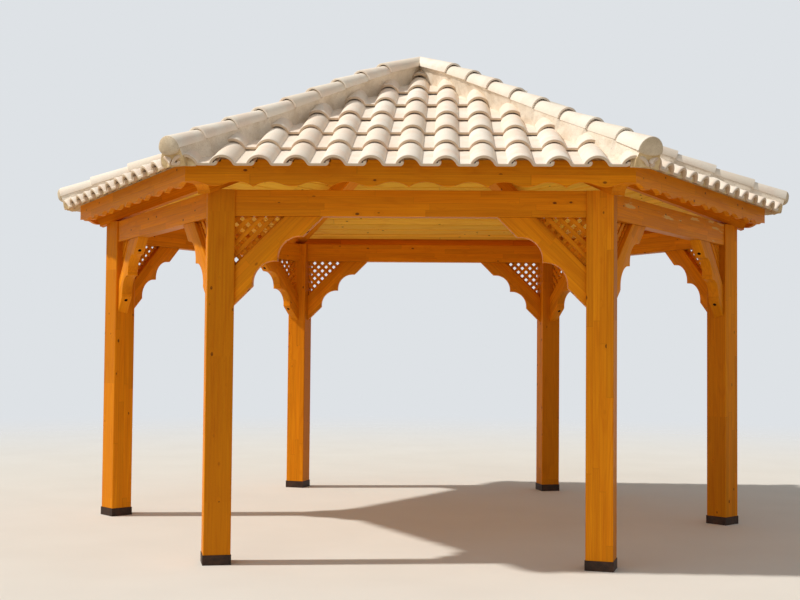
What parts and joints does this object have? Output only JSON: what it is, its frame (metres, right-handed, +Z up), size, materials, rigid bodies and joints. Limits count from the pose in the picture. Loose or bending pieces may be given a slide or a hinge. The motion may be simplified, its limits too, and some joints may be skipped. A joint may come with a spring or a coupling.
{
  "type": "garden gazebo",
  "caption": "Open hexagonal timber garden gazebo with knee braces, corner lattices, scalloped fascias and a hipped roof of cream clay tiles.",
  "frame": {"origin": "on the ground at the middle of the plan, level with the undersides of the post shoes", "axes": "+Z up, -Y towards whoever faces the front bay, +X to the right seen from the front"},
  "size_m": [5.4806, 4.7762, 3.4638],
  "materials": {
    "stained_pine": "honey stained laminated pine, satin",
    "ceiling_boards": "pale honey stained tongue and groove boards, satin",
    "dark_steel": "dark brown painted steel, matte",
    "clay_tiles": "unglazed cream clay tiles, matte",
    "hip_tiles": "unglazed cream clay hip tiles bedded in mortar, matte"
  },
  "bodies": {
    "root": {"post_right": "stained_pine", "post_back_right": "stained_pine", "post_back_left": "stained_pine", "post_left": "stained_pine", "post_front_left": "stained_pine", "post_front_right": "stained_pine", "post_shoes": "dark_steel", "beam_back_right": "stained_pine", "braces_back_right": "stained_pine", "lattice_back_right": "stained_pine", "fascia_back_right": "stained_pine", "ceiling_back_right": "ceiling_boards", "tiles_back_right": "clay_tiles", "beam_back": "stained_pine", "braces_back": "stained_pine", "lattice_back": "stained_pine", "fascia_back": "stained_pine", "ceiling_back": "ceiling_boards", "tiles_back": "clay_tiles", "beam_back_left": "stained_pine", "braces_back_left": "stained_pine", "lattice_back_left": "stained_pine", "fascia_back_left": "stained_pine", "ceiling_back_left": "ceiling_boards", "tiles_back_left": "clay_tiles", "beam_front_left": "stained_pine", "braces_front_left": "stained_pine", "lattice_front_left": "stained_pine", "fascia_front_left": "stained_pine", "ceiling_front_left": "ceiling_boards", "tiles_front_left": "clay_tiles", "beam_front": "stained_pine", "braces_front": "stained_pine", "lattice_front": "stained_pine", "fascia_front": "stained_pine", "ceiling_front": "ceiling_boards", "tiles_front": "clay_tiles", "beam_front_right": "stained_pine", "braces_front_right": "stained_pine", "lattice_front_right": "stained_pine", "fascia_front_right": "stained_pine", "ceiling_front_right": "ceiling_boards", "tiles_front_right": "clay_tiles", "hip_rafters": "stained_pine", "roof_boss": "stained_pine", "hip_tiles": "hip_tiles"}
  },
  "joints": []
}
